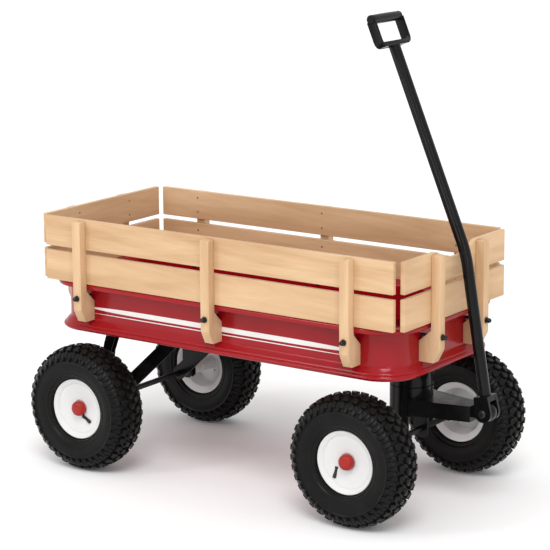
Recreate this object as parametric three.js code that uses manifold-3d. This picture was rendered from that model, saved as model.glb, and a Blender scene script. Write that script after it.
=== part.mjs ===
// A child's pull wagon: pressed steel tray, slatted timber sides, four pneumatic wheels,
// a steered front axle on a kingpin and a pull handle hinged on the tongue.
// Millimetres. +X is forward, +Y is the wagon's left, +Z is up, z = 0 is the ground.
import * as THREE from 'three';
import { mergeVertices } from 'three/addons/utils/BufferGeometryUtils.js';
import Module from 'manifold-3d';

const wasm = await Module();
wasm.setup();

// ---------------------------------------------------------------- driving dimensions
const GAP = 0.3;                 // clearance between pieces that touch
const SHEET = 1.5;               // tray sheet steel

const TRAY_HALF_X = 403.5;       // outside of the tray's upright wall
const TRAY_HALF_Y = 173;
const TRAY_CORNER = 60;          // wall corner radius
const TRAY_BOTTOM = 275;
const FLOOR_TOP = 276.8;
const RIM_TOP = 377.5;
const RIM_BOTTOM = 367;
const RIM_OUT = 23;              // how far the rim stands out from the wall

const SLAT_THICK = 9.5;
const SLAT_LOW = [378, 438.5];   // bottom and top edge of the lower slats
const SLAT_HIGH = [448, 508.5];
const SIDE_SLAT_HALF = 413;      // half length of a side slat
const SIDE_FACE = 196;           // outer face of the side slats
const END_SLAT_HALF = 183;
const END_FACE = 429.5;          // outer face of the end slats
const SCOOP_HALF = 70;           // handle rest scooped in the top front slat
const SCOOP_DEPTH = 20;

const STAKE_WIDE = 20.5;
const STAKE_PROUD = 18.5;        // how far a stake stands out from the slats
const STAKE_TOP = 507.5;
const STAKE_FOOT = 301.5;
const STAKE_BEVEL = 327;         // where the bevel of the outer foot starts
const STAKE_NOTCH = 363;         // where the stake starts to reach in under the rim
const SIDE_STAKES_X = [-318.5, 0, 318.5];
const END_STAKE_Y = 81;
const BOLT_Z = 351;
const BOLT_R = 3;

const AXLE_Z = 128;              // wheel radius on the flats of the faceted tyre
const AXLE_R = 6;
const AXLE_HALF = 234.5;
const REAR_X = -311;
const FRONT_X = 333;             // front axle and kingpin
const WHEEL_Y = 204;             // tyre centre plane
const TYRE_SIDES = 32;
const HUB_BORE = 9.3;
const HUB_REAR = -34;            // inner end of the hub, from the tyre's centre plane
const HUB_FRONT = 17;            // where the dished disc meets the hub
const CAP_R = 15.5;
const CAP_TOP = 34.2;

const HANGER_Y = [128, 144];     // inner and outer face of a rear hanger
const BRACE_Y = [100, 104];
const PLATE = 3;                 // pressed brackets

const BOLSTER_LOW = 229;
const YOKE_TOP = 228;
const YOKE_LEG_Y = [34, 38];
const DRUM_R = 42;               // pedestal and turntable drum
const HUB_STOP_Y = 144;          // what each wheel's bush bears against, from the middle plane
const KINGPIN_R = 7;
const TONGUE_HALF = 20;          // half width at the hinge end
const TONGUE_TOP = 208;
const HINGE = [500, 197];        // x and z of the handle's hinge pin
const PIN_R = 5;
const LEAN_LOW = 9.6;            // handle lean below and above its bend, degrees
const LEAN_HIGH = 22.9;
const BEND_Z = 495;
const SHAFT_TOP_Z = 872;
const SHAFT_R = 11;
const PLUG_R = 8.8;              // plugs of the fork and the grip inside the shaft's bore
const GRIP_HALF = 50;
const GRIP_HIGH = 66;
const GRIP_BAR_R = 9;
const FORK_OUT = 18.4;           // half width over the fork's cheeks
const FORK_IN = 12;
const KNUCKLE_HALF = 11;

const LENGTH_SHIFT = -29.35;     // moves the middle of the whole length to x = 0

// ---------------------------------------------------------------- finishes
const finish = {
  redPaint: [0xa81820, 0.25, 0.1],
  blackPaint: [0x121212, 0.3, 0.2],
  timber: [0xdeb88e, 0.65, 0],
  blackZinc: [0x17181a, 0.4, 0.6],
  rubber: [0x1c1a1a, 0.85, 0],
  whitePaint: [0xf0f0ee, 0.35, 0.05],
  redPlastic: [0xb81e1c, 0.35, 0],
  nylon: [0xe6e2d6, 0.5, 0],
};

const wagon = new THREE.Group();

function place(name, geometry, look) {
  const [color, roughness, metalness] = finish[look];
  const mesh = new THREE.Mesh(geometry, new THREE.MeshStandardMaterial({ color, roughness, metalness }));
  mesh.name = name;
  wagon.add(mesh);
}

// ---------------------------------------------------------------- geometry helpers
const radians = THREE.MathUtils.degToRad;

/** A solid ready for joining and cutting. */
function solid(geometry) {
  const bare = geometry.clone();
  bare.deleteAttribute('normal');
  bare.deleteAttribute('uv');
  const merged = mergeVertices(bare, 1e-4);
  return new wasm.Manifold(new wasm.Mesh({
    numProp: 3,
    vertProperties: new Float32Array(merged.attributes.position.array),
    triVerts: new Uint32Array(merged.index.array),
  }));
}

/** Back from a joined solid to three.js geometry. */
function geometryOf(body) {
  const mesh = body.getMesh();
  const geometry = new THREE.BufferGeometry();
  geometry.setAttribute('position', new THREE.BufferAttribute(new Float32Array(mesh.vertProperties), 3));
  geometry.setIndex(new THREE.BufferAttribute(new Uint32Array(mesh.triVerts), 1));
  geometry.computeVertexNormals();
  return geometry;
}

const joined = (...parts) => parts.map(solid).reduce((a, b) => a.add(b));
const cut = (body, ...tools) => tools.reduce((rest, tool) => rest.subtract(solid(tool)), body);

/** A box given by its low and high corner. */
function box(low, high) {
  const size = high.map((value, i) => value - low[i]);
  const geometry = new THREE.BoxGeometry(...size);
  return geometry.translate(...low.map((value, i) => value + size[i] / 2));
}

/** A round bar along Y between two y values. */
function barY(x, z, radius, from, to, sides = 20) {
  return new THREE.CylinderGeometry(radius, radius, to - from, sides).translate(x, (from + to) / 2, z);
}

/** A round bar along Z between two z values. */
function barZ(x, y, radius, from, to, sides = 24) {
  const bar = new THREE.CylinderGeometry(radius, radius, to - from, sides).rotateX(Math.PI / 2);
  return bar.translate(x, y, (from + to) / 2);
}

const outline = (points) => new THREE.Shape(points.map(([a, b]) => new THREE.Vector2(a, b)));

/** A flat outline in (x, z) given a thickness along Y. */
function plateXZ(shape, from, to, curveSegments = 12) {
  const flat = new THREE.ExtrudeGeometry(shape, { depth: to - from, bevelEnabled: false, curveSegments });
  return flat.rotateX(Math.PI / 2).translate(0, to, 0);
}

/** A flat outline in (y, z) given a thickness along X. */
function plateYZ(shape, from, to, curveSegments = 12) {
  const flat = new THREE.ExtrudeGeometry(shape, { depth: to - from, bevelEnabled: false, curveSegments });
  const turn = new THREE.Matrix4().makeBasis(
    new THREE.Vector3(0, 1, 0), new THREE.Vector3(0, 0, 1), new THREE.Vector3(1, 0, 0));
  return flat.applyMatrix4(turn).translate(from, 0, 0);
}

/** A flat outline in (x, y) given a height along Z. */
function plateXY(shape, from, to, curveSegments = 12) {
  const flat = new THREE.ExtrudeGeometry(shape, { depth: to - from, bevelEnabled: false, curveSegments });
  return flat.translate(0, 0, from);
}

/** A ring or cap turned about the Y axis: profile points are (radius, distance along Y). */
function turnedY(points, sides) {
  const profile = points.map(([r, y]) => new THREE.Vector2(r, y));
  if (THREE.ShapeUtils.area(profile) < 0) {
    profile.reverse();
  }
  return new THREE.LatheGeometry(profile, sides);
}

/** Mirrors a solid to the other side of the wagon, keeping its faces outward. */
function mirrored(geometry, x = 1, y = 1) {
  const copy = geometry.clone().scale(x, y, 1);
  if (x * y < 0) {
    const index = copy.index ?? new THREE.BufferAttribute(
      new Uint32Array(copy.attributes.position.count).map((_, i) => i), 1);
    const order = index.array.slice();
    for (let i = 0; i < order.length; i += 3) {
      [order[i], order[i + 1]] = [order[i + 1], order[i]];
    }
    copy.setIndex(new THREE.BufferAttribute(new Uint32Array(order), 1));
  }
  return copy;
}

/** A rounded rectangle about the origin, as an outline in (x, y). */
function roundedRectangle(halfX, halfY, radius) {
  const shape = new THREE.Shape();
  shape.absarc(halfX - radius, halfY - radius, radius, 0, Math.PI / 2);
  shape.absarc(radius - halfX, halfY - radius, radius, Math.PI / 2, Math.PI);
  shape.absarc(radius - halfX, radius - halfY, radius, Math.PI, 1.5 * Math.PI);
  shape.absarc(halfX - radius, radius - halfY, radius, 1.5 * Math.PI, 2 * Math.PI);
  return shape;
}

// ---------------------------------------------------------------- tray
// The wall, rim and flared foot are one closed section, turned round the four corner
// centres: a lathe whose quarters are moved apart, so its joining strips become the sides.
function trayRing() {
  const section = [
    [-6, TRAY_BOTTOM], [9.5, 276], [13.8, 278], [15.5, 281.5], [13.5, 286.5], [5.5, 291.5], [0, 301],
    [0, RIM_TOP - SHEET], [RIM_OUT - SHEET, RIM_TOP - SHEET], [RIM_OUT - SHEET, RIM_BOTTOM],
    [RIM_OUT, RIM_BOTTOM], [RIM_OUT, RIM_TOP], [-SHEET, RIM_TOP], [-SHEET, 301], [4.6, 290.2],
    [12.3, 285.4], [14, 281.5], [12.8, 279.2], [9, 277.5], [-6, FLOOR_TOP], [-6, TRAY_BOTTOM],
  ];
  const sides = 24;
  const toFlat = Math.cos(Math.PI / sides);
  const profile = section.map(([out, z]) => new THREE.Vector2((TRAY_CORNER + out) / toFlat, z));
  const ring = new THREE.LatheGeometry(profile, sides, Math.PI / sides);
  ring.rotateX(Math.PI / 2);
  const position = ring.attributes.position;
  for (let i = 0; i < position.count; i += 1) {
    const x = position.getX(i);
    const y = position.getY(i);
    position.setX(i, x + Math.sign(x) * (TRAY_HALF_X - TRAY_CORNER));
    position.setY(i, y + Math.sign(y) * (TRAY_HALF_Y - TRAY_CORNER));
  }
  return ring;
}

function tray() {
  const inset = 3;
  const pan = roundedRectangle(TRAY_HALF_X - inset, TRAY_HALF_Y - inset, TRAY_CORNER - inset);
  const floor = plateXY(pan, TRAY_BOTTOM, FLOOR_TOP, 6);
  let body = joined(trayRing(), floor);
  const holeR = BOLT_R + 2 * GAP;
  const reach = TRAY_HALF_Y + RIM_OUT;
  SIDE_STAKES_X.forEach((x) => {
    body = cut(body, barY(x, BOLT_Z, holeR, -reach, reach, 12));
  });
  [-1, 1].forEach((side) => {
    const across = barY(0, 0, holeR, -TRAY_HALF_X - RIM_OUT, TRAY_HALF_X + RIM_OUT, 12);
    body = cut(body, across.rotateZ(Math.PI / 2).translate(0, side * END_STAKE_Y, BOLT_Z));
  });
  return geometryOf(body);
}
place('tray', tray(), 'redPaint');

// ---------------------------------------------------------------- timber sides
const levels = { lower: SLAT_LOW, upper: SLAT_HIGH };
const sidesOfWagon = { right: -1, left: 1 };
const endsOfWagon = { rear: -1, front: 1 };

for (const [level, [low, high]] of Object.entries(levels)) {
  for (const [side, sign] of Object.entries(sidesOfWagon)) {
    const slat = box([-SIDE_SLAT_HALF, SIDE_FACE - SLAT_THICK, low], [SIDE_SLAT_HALF, SIDE_FACE, high]);
    place(`side_slat_${level}_${side}`, mirrored(slat, 1, sign), 'timber');
  }
  place(`rear_slat_${level}`,
    box([-END_FACE, -END_SLAT_HALF, low], [SLAT_THICK - END_FACE, END_SLAT_HALF, high]), 'timber');
}
const [frontLow, frontHigh] = SLAT_LOW;
const frontInner = END_FACE - SLAT_THICK;
const frontSlat = box([frontInner, -END_SLAT_HALF, frontLow], [END_FACE, END_SLAT_HALF, frontHigh]);
place('front_slat_lower', frontSlat, 'timber');

// The top front slat dips in a shallow arc, where the handle leans.
function scoopedSlat() {
  const [low, high] = SLAT_HIGH;
  const radius = (SCOOP_HALF ** 2 + SCOOP_DEPTH ** 2) / (2 * SCOOP_DEPTH);
  const half = Math.asin(SCOOP_HALF / radius);
  const shape = new THREE.Shape();
  shape.moveTo(-END_SLAT_HALF, low);
  shape.lineTo(END_SLAT_HALF, low);
  shape.lineTo(END_SLAT_HALF, high);
  shape.lineTo(SCOOP_HALF, high);
  shape.absarc(0, high - SCOOP_DEPTH + radius, radius, half - Math.PI / 2, -half - Math.PI / 2, true);
  shape.lineTo(-END_SLAT_HALF, high);
  return plateYZ(shape, END_FACE - SLAT_THICK, END_FACE, 20);
}
place('front_slat_upper', scoopedSlat(), 'timber');

// A stake stands outside the slats, is notched round the rim, reaches in to the tray wall
// and is bolted through it. Its outline is (distance out from the wagon's middle, z).
function stakeOutline(face, wall) {
  const inner = face + GAP + 0.1;
  const outer = face + STAKE_PROUD;
  return outline([
    [inner, STAKE_TOP], [inner, STAKE_NOTCH], [wall + GAP, STAKE_NOTCH - 16], [wall + GAP, STAKE_FOOT],
    [outer - 20, STAKE_FOOT], [outer, STAKE_BEVEL], [outer, STAKE_TOP - 1.5], [outer - 1.5, STAKE_TOP],
  ]);
}

/** A stake lying along Y outward at x = 0, drilled for its bolt. */
function stake(face, wall) {
  const block = plateYZ(stakeOutline(face, wall), -STAKE_WIDE / 2, STAKE_WIDE / 2);
  return geometryOf(cut(solid(block), barY(0, BOLT_Z, BOLT_R + GAP, wall - 5, face + STAKE_PROUD + 5, 12)));
}

/** The stake's bolt: flat head inside the tray, shank, washer and domed nut outside. */
function stakeBolt(face, wall) {
  const head = wall - SHEET - GAP;
  const seat = face + STAKE_PROUD + GAP;
  const profile = [
    [0, head - 2.6], [5, head - 2.4], [6.5, head], [BOLT_R, head], [BOLT_R, seat], [7.5, seat],
    [7.5, seat + 1.5], [5, seat + 1.5], [5, seat + 8], [3.6, seat + 10.6], [0, seat + 11.5],
  ];
  return turnedY(profile, 8).translate(0, 0, BOLT_Z);
}

/** Puts a piece made for the left side at x = along onto any of the four sides. */
function putOnSide(name, geometry, look, along, sign) {
  place(name, mirrored(geometry, 1, sign).translate(along, 0, 0), look);
}

function putOnEnd(name, geometry, look, along, sign) {
  const turned = geometry.clone().rotateZ(-Math.PI / 2);
  place(name, mirrored(turned, sign, 1).translate(0, along, 0), look);
}

const sideStake = stake(SIDE_FACE, TRAY_HALF_Y);
const sideBolt = stakeBolt(SIDE_FACE, TRAY_HALF_Y);
const endStake = stake(END_FACE, TRAY_HALF_X);
const endBolt = stakeBolt(END_FACE, TRAY_HALF_X);

for (const [side, sign] of Object.entries(sidesOfWagon)) {
  SIDE_STAKES_X.forEach((x, i) => {
    const where = ['rear', 'middle', 'front'][i];
    putOnSide(`side_stake_${side}_${where}`, sideStake, 'timber', x, sign);
    putOnSide(`side_bolt_${side}_${where}`, sideBolt, 'blackZinc', x, sign);
  });
  for (const [end, facing] of Object.entries(endsOfWagon)) {
    putOnEnd(`${end}_stake_${side}`, endStake, 'timber', sign * END_STAKE_Y, facing);
    putOnEnd(`${end}_bolt_${side}`, endBolt, 'blackZinc', sign * END_STAKE_Y, facing);
  }
}

// ---------------------------------------------------------------- rear gear
// Each hanger is a pressed channel that leans forward under the tray, bored for the axle.
function hanger() {
  const [inner, outer] = HANGER_Y;
  const top = TRAY_BOTTOM - GAP;
  const back = REAR_X - 10;
  const front = REAR_X + 13;
  const foot = AXLE_Z - 16;
  const flange = outline([
    [REAR_X + 10, top], [REAR_X, 246], [back, 200], [back, foot + 5], [back + 5, foot],
    [front - 6, foot], [front, foot + 6], [front, 200], [REAR_X + 17, 230], [REAR_X + 34, top],
  ]);
  const spine = outline([
    [REAR_X + 10, top], [REAR_X, 246], [back, 200], [back, foot + 5], [back + PLATE, foot + 5],
    [back + PLATE, 200], [REAR_X + PLATE, 246], [REAR_X + 10 + PLATE, top],
  ]);
  const flanges = [[inner, inner + PLATE], [outer - PLATE, outer]].map(([a, b]) => plateXZ(flange, a, b));
  const web = plateXZ(spine, inner, outer);
  const cap = box([REAR_X - 6, inner - 4, top - PLATE], [REAR_X + 50, outer + 4, top]);
  const axleHole = barY(REAR_X, AXLE_Z, AXLE_R + GAP, inner - 5, outer + 5);
  return geometryOf(cut(joined(...flanges, web, cap), axleHole));
}

// Each brace is a strap from the axle up and forward to a foot under the tray.
function brace() {
  const [inner, outer] = BRACE_Y;
  const top = TRAY_BOTTOM - GAP;
  const rise = top - AXLE_Z;
  const run = rise / Math.tan(radians(42.5));
  const half = 14.5;
  const slant = Math.hypot(run, rise);
  const nx = (rise / slant) * half;
  const nz = (run / slant) * half;
  const topX = REAR_X + run;
  const turn = Math.atan2(rise, run);
  const strap = new THREE.Shape();
  strap.moveTo(REAR_X + nx, AXLE_Z - nz);
  strap.lineTo(topX + half / Math.sin(turn) - 4, top - 3);
  strap.lineTo(topX + half / Math.sin(turn) - 4, top);
  strap.lineTo(topX - half / Math.sin(turn), top);
  strap.lineTo(REAR_X - nx, AXLE_Z + nz);
  strap.absarc(REAR_X, AXLE_Z, half, turn + Math.PI / 2, turn + 1.5 * Math.PI);
  const foot = box([topX - 22, inner - 26, top - PLATE], [topX + 26, outer, top]);
  const hole = barY(REAR_X, AXLE_Z, AXLE_R + GAP, inner - 5, outer + 5);
  return geometryOf(cut(joined(plateXZ(strap, inner, outer), foot), hole));
}

const rearHanger = hanger();
const rearBrace = brace();
for (const [side, sign] of Object.entries(sidesOfWagon)) {
  place(`rear_hanger_${side}`, mirrored(rearHanger, 1, sign), 'blackPaint');
  place(`rear_brace_${side}`, mirrored(rearBrace, 1, sign), 'blackPaint');
}
place('rear_axle', barY(REAR_X, AXLE_Z, AXLE_R, -AXLE_HALF, AXLE_HALF), 'blackZinc');

// ---------------------------------------------------------------- front gear, fixed part
/** A profile of (radius, height) turned about a vertical line. */
const turnedZ = (profile, sides) => turnedY(profile, sides).rotateX(Math.PI / 2);

// The bolster is a round pressed pedestal that flares out to a rim under the tray.
function bolster() {
  const top = TRAY_BOTTOM - GAP;
  const bore = KINGPIN_R + GAP;
  const inside = DRUM_R - PLATE;
  const cup = turnedZ([
    [bore, BOLSTER_LOW], [DRUM_R, BOLSTER_LOW], [DRUM_R, 243], [DRUM_R + 2, 252], [DRUM_R + 6, 261],
    [DRUM_R + 11, top - 5], [DRUM_R + 12, top], [DRUM_R + 4, top], [DRUM_R + 2, 262],
    [inside + 2, 253], [inside, 244], [inside, BOLSTER_LOW + PLATE], [bore, BOLSTER_LOW + PLATE],
    [bore, BOLSTER_LOW],
  ], 32);
  return cup.translate(FRONT_X, 0, 0);
}
place('front_bolster', bolster(), 'blackPaint');

function kingpin() {
  const nut = YOKE_TOP - PLATE - GAP;
  const head = BOLSTER_LOW + PLATE + GAP;
  const profile = [
    [0, nut - 11], [9, nut - 11], [11, nut - 9], [11, nut], [KINGPIN_R, nut], [KINGPIN_R, head], [12, head],
    [12, head + 7], [10, head + 9], [0, head + 9],
  ];
  return turnedY(profile, 16).rotateX(Math.PI / 2).translate(FRONT_X, 0, 0);
}
place('kingpin', kingpin(), 'blackZinc');

// ---------------------------------------------------------------- front gear, steered part
// The steering yoke: a drum under the pedestal with two plates inside it, bored for the axle.
function yoke() {
  const [legIn, legOut] = YOKE_LEG_Y;
  const bore = KINGPIN_R + GAP;
  const inside = DRUM_R - PLATE;
  const under = YOKE_TOP - PLATE;
  const hem = 172;
  const drum = turnedZ([
    [bore, under], [inside, under], [inside, hem], [DRUM_R, hem], [DRUM_R, YOKE_TOP],
    [bore, YOKE_TOP], [bore, under],
  ], 32).translate(FRONT_X, 0, 0);
  const leg = outline([
    [FRONT_X - 16, under + 1], [FRONT_X - 16, 116], [FRONT_X - 10, 111], [FRONT_X + 10, 111],
    [FRONT_X + 16, 116], [FRONT_X + 16, under + 1],
  ]);
  const legs = [[legIn, legOut], [-legOut, -legIn]].map(([a, b]) => plateXZ(leg, a, b));
  const axleHole = barY(FRONT_X, AXLE_Z, AXLE_R + GAP, -legOut - 5, legOut + 5);
  return geometryOf(cut(joined(drum, ...legs), axleHole));
}
place('steering_yoke', yoke(), 'blackPaint');

// The front axle has a collar inside each wheel, because the yoke's plates are near the middle.
function frontAxle() {
  const collar = AXLE_R + 4;
  const half = [
    [AXLE_R, HUB_STOP_Y - 6], [collar, HUB_STOP_Y - 5], [collar, HUB_STOP_Y], [AXLE_R, HUB_STOP_Y],
    [AXLE_R, AXLE_HALF], [0, AXLE_HALF],
  ];
  const mirror = half.map(([r, y]) => [r, -y]).reverse();
  return turnedY([...mirror, ...half], 16).translate(FRONT_X, 0, AXLE_Z);
}
place('front_axle', frontAxle(), 'blackZinc');

// The tongue: a channel, open below, that narrows from the drum to a round knuckle.
function tongue() {
  const [hingeX, hingeZ] = HINGE;
  const root = FRONT_X + 22;
  const nose = 474;
  const wall = 3;
  const plan = (d) => outline([
    [root, d - 46], [nose - d, d - TONGUE_HALF], [nose - d, TONGUE_HALF - d], [root, 46 - d],
  ]);
  const shell = plateXY(plan(0), 177, TONGUE_TOP, 1);
  const hollow = plateXY(plan(wall), 170, TONGUE_TOP - wall, 1);
  const neck = box([nose - 6, -10, 184], [hingeX - 8, 10, TONGUE_TOP - 2]);
  const crown = new THREE.SphereGeometry(18.5, 20, 14).translate(hingeX, 0, hingeZ);
  const slab = box([hingeX - 20, -KNUCKLE_HALF, hingeZ - 20], [hingeX + 20, KNUCKLE_HALF, hingeZ + 20]);
  const ball = solid(crown).intersect(solid(slab));
  const drumRoom = barZ(FRONT_X, 0, DRUM_R + 4 * GAP, 160, 230);
  const body = cut(joined(shell), hollow, drumRoom).add(joined(neck)).add(ball);
  return geometryOf(cut(body, barY(hingeX, hingeZ, PIN_R + GAP, -15, 15)));
}
place('tongue', tongue(), 'blackPaint');

function hingePin() {
  const half = FORK_OUT + GAP;
  const profile = [
    [0, -half - 5], [5.5, -half - 5], [8, -half - 2.5], [8, -half], [PIN_R, -half], [PIN_R, half], [8, half],
    [8, half + 2.5], [5.5, half + 5], [0, half + 5],
  ];
  return turnedY(profile, 16).translate(HINGE[0], 0, HINGE[1]);
}
place('hinge_pin', hingePin(), 'blackZinc');

// ---------------------------------------------------------------- pull handle
const lower = new THREE.Vector3(-Math.sin(radians(LEAN_LOW)), 0, Math.cos(radians(LEAN_LOW)));
const upper = new THREE.Vector3(-Math.sin(radians(LEAN_HIGH)), 0, Math.cos(radians(LEAN_HIGH)));
const hinge = new THREE.Vector3(HINGE[0], 0, HINGE[1]);
const bend = hinge.clone().addScaledVector(lower, (BEND_Z - HINGE[1]) / lower.z);
const shaftTop = bend.clone().addScaledVector(upper, (SHAFT_TOP_Z - BEND_Z) / upper.z);

/** Stands a piece made along +Z at the origin on a point, leaning back by degrees. */
const leaned = (geometry, degrees, at) => geometry.rotateY(-radians(degrees)).translate(at.x, at.y, at.z);

// The handle's fork: two cheeks over the knuckle, a bridge and a plug inside the shaft's end.
function handleFork() {
  const cheek = new THREE.Shape();
  cheek.absarc(0, 0, 17.5, Math.PI, 2 * Math.PI);
  cheek.lineTo(15, 30);
  cheek.lineTo(-15, 30);
  const cheeks = [[FORK_IN, FORK_OUT], [-FORK_OUT, -FORK_IN]].map(([a, b]) => plateXZ(cheek, a, b));
  const bridge = box([-15, -FORK_OUT, 21], [15, FORK_OUT, 32]);
  const plug = barZ(0, 0, PLUG_R, 30, 54);
  const body = cut(
    joined(...cheeks, bridge, plug),
    barY(0, 0, PIN_R + GAP, -25, 25),
    new THREE.SphereGeometry(19.6, 20, 12),
  );
  return leaned(geometryOf(body), LEAN_LOW, hinge);
}
place('handle_fork', handleFork(), 'blackPaint');

// The shaft: a round steel tube with one gentle bend, open at both ends.
function shaft() {
  const start = hinge.clone().addScaledVector(lower, 32 + GAP);
  const sweep = 28;
  const route = new THREE.CurvePath();
  const bendIn = bend.clone().addScaledVector(lower, -sweep);
  const bendOut = bend.clone().addScaledVector(upper, sweep);
  route.add(new THREE.LineCurve3(start, bendIn));
  route.add(new THREE.QuadraticBezierCurve3(bendIn, bend, bendOut));
  route.add(new THREE.LineCurve3(bendOut, shaftTop));
  const ring = new THREE.Shape();
  ring.absarc(0, 0, SHAFT_R, 0, 2 * Math.PI);
  const bore = new THREE.Path();
  bore.absarc(0, 0, SHAFT_R - 1.6, 0, 2 * Math.PI, true);
  ring.holes.push(bore);
  const sweepSettings = { steps: 22, curveSegments: 7, extrudePath: route, bevelEnabled: false };
  return new THREE.ExtrudeGeometry(ring, sweepSettings);
}
place('handle_shaft', shaft(), 'blackPaint');

// The grip frame: a strap bent to a U with a plug inside the shaft, and a round bar between its arms.
function gripFrame() {
  const strap = 4;
  const deep = 10;
  const corner = 12;
  const out = roundedRectangle(GRIP_HALF, GRIP_HIGH / 2, corner);
  const room = roundedRectangle(GRIP_HALF - strap, GRIP_HIGH / 2 - strap, corner - strap);
  out.holes.push(new THREE.Path(room.getPoints(6).reverse()));
  const loop = plateYZ(out, -deep, deep, 6).translate(0, 0, GRIP_HIGH / 2);
  const roof = box([-20, -60, GRIP_HIGH - 14], [20, 60, GRIP_HIGH + 10]);
  const base = outline([[-40, 0.5], [40, 0.5], [46.5, 7], [46.5, 9.4], [-46.5, 9.4], [-46.5, 7]]);
  const pad = plateYZ(base, -deep, deep, 1);
  const plug = barZ(0, 0, PLUG_R, -24, 2);
  const body = cut(joined(loop, pad, plug), roof);
  return leaned(geometryOf(body), LEAN_HIGH, shaftTop.clone().addScaledVector(upper, GAP));
}
place('grip_frame', gripFrame(), 'blackPaint');

function gripBar() {
  const centre = GRIP_HIGH - GRIP_BAR_R - 1;
  const bar = barY(0, centre, GRIP_BAR_R, -GRIP_HALF, GRIP_HALF, 24);
  const arms = box([-12, -60, -10], [12, 60, GRIP_HIGH - 14 + GAP]);
  const middle = barY(0, centre, GRIP_BAR_R, 4.5 - GRIP_HALF, GRIP_HALF - 4.5, 24);
  const body = cut(joined(bar), arms).add(solid(middle));
  return leaned(geometryOf(body), LEAN_HIGH, shaftTop.clone().addScaledVector(upper, GAP));
}
place('grip_bar', gripBar(), 'blackZinc');

// ---------------------------------------------------------------- wheels
// Profiles are (radius, distance outward from the tyre's centre plane).
const rimProfile = [
  [HUB_BORE, HUB_REAR], [14, HUB_REAR], [14, 12], [47.5, 20], [47.5, -22], [60, -30], [61.5, -28],
  [50.8, -21], [50.8, 21], [61.5, 28], [59.5, 30], [55, 27.5], [50, 24.5], [16, HUB_FRONT],
  [HUB_BORE, HUB_FRONT], [HUB_BORE, HUB_REAR],
];
const flat = 1 / Math.cos(Math.PI / TYRE_SIDES);
const tyreProfile = [
  [51.2, -20], [51.2, -13], [70, -30], [104, -33], [115, 0], [104, 33], [70, 30], [51.2, 13], [51.2, 20],
  [62, 24.8], [74, 38], [92, 42.5], [118, 39], [AXLE_Z, 28],
  [AXLE_Z, -28], [118, -39], [92, -42.5], [74, -38], [62, -24.8], [51.2, -20],
].map(([r, y]) => [r > 100 ? r * flat : r, y]);
const bushProfile = (() => {
  const inside = HUB_STOP_Y + 1 - WHEEL_Y;
  return [
    [AXLE_R + GAP, inside], [12.5, inside], [12.5, HUB_REAR - GAP], [HUB_BORE - GAP, HUB_REAR - GAP],
    [HUB_BORE - GAP, HUB_FRONT + 1], [AXLE_R + GAP, HUB_FRONT + 1], [AXLE_R + GAP, inside],
  ];
})();
const capProfile = [
  [0, CAP_TOP - 3.2], [AXLE_R + GAP, CAP_TOP - 3.2], [AXLE_R + GAP, HUB_FRONT + 1.5],
  [CAP_R, HUB_FRONT + 1.5], [CAP_R, 26], [13.6, 30.5], [9.5, 33.2], [0, CAP_TOP],
];

for (const [end, x] of Object.entries({ rear: REAR_X, front: FRONT_X })) {
  for (const [side, sign] of Object.entries(sidesOfWagon)) {
    const turned = (profile, sides) => turnedY(profile.map(([r, y]) => [r, sign * (WHEEL_Y + y)]), sides);
    const at = (geometry) => geometry.translate(x, 0, AXLE_Z);
    const tyre = turned(tyreProfile, TYRE_SIDES).rotateY(Math.PI / TYRE_SIDES);
    place(`tyre_${end}_${side}`, at(tyre), 'rubber');
    place(`rim_${end}_${side}`, at(turned(rimProfile, 32)), 'whitePaint');
    place(`bush_${end}_${side}`, at(turned(bushProfile, 16)), 'nylon');
    place(`axle_cap_${end}_${side}`, at(turned(capProfile, 16)), 'redPlastic');
  }
}

wagon.position.x = LENGTH_SHIFT;

const part = new THREE.Group();
part.add(wagon);
export default part;
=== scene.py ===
"""A child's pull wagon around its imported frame.

Lengths in the shape functions are millimetres; MM turns them into metres. +X is forward,
+Y is the wagon's left and +Z is up. Every shell is a grid of points worked out as arrays.
"""
import math

import bmesh
import bpy
import numpy as np
from mathutils import Matrix, Vector


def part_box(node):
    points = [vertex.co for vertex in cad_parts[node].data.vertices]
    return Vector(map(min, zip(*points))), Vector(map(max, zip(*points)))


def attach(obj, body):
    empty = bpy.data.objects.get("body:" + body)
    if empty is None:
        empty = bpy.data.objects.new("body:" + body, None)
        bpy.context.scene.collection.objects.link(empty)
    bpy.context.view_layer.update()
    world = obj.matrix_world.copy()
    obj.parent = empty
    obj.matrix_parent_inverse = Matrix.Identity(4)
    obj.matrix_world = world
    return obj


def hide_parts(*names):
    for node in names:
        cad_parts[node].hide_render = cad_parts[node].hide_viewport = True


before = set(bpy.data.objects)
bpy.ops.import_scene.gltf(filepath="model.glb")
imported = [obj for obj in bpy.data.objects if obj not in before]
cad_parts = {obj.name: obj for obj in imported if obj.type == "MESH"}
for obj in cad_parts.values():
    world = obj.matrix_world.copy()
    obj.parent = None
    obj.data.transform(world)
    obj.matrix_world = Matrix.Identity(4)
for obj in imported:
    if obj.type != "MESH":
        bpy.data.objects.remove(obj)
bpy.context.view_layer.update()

MM = 0.001
SIDES = {"right": -1, "left": 1}
ENDS = {"rear": -1, "front": 1}


def place_of(node):
    """Low and high corner of a frame node in millimetres."""
    low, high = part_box(node)
    return np.array(low) / MM, np.array(high) / MM


def middle_of(node):
    low, high = place_of(node)
    return (low + high) / 2


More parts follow.
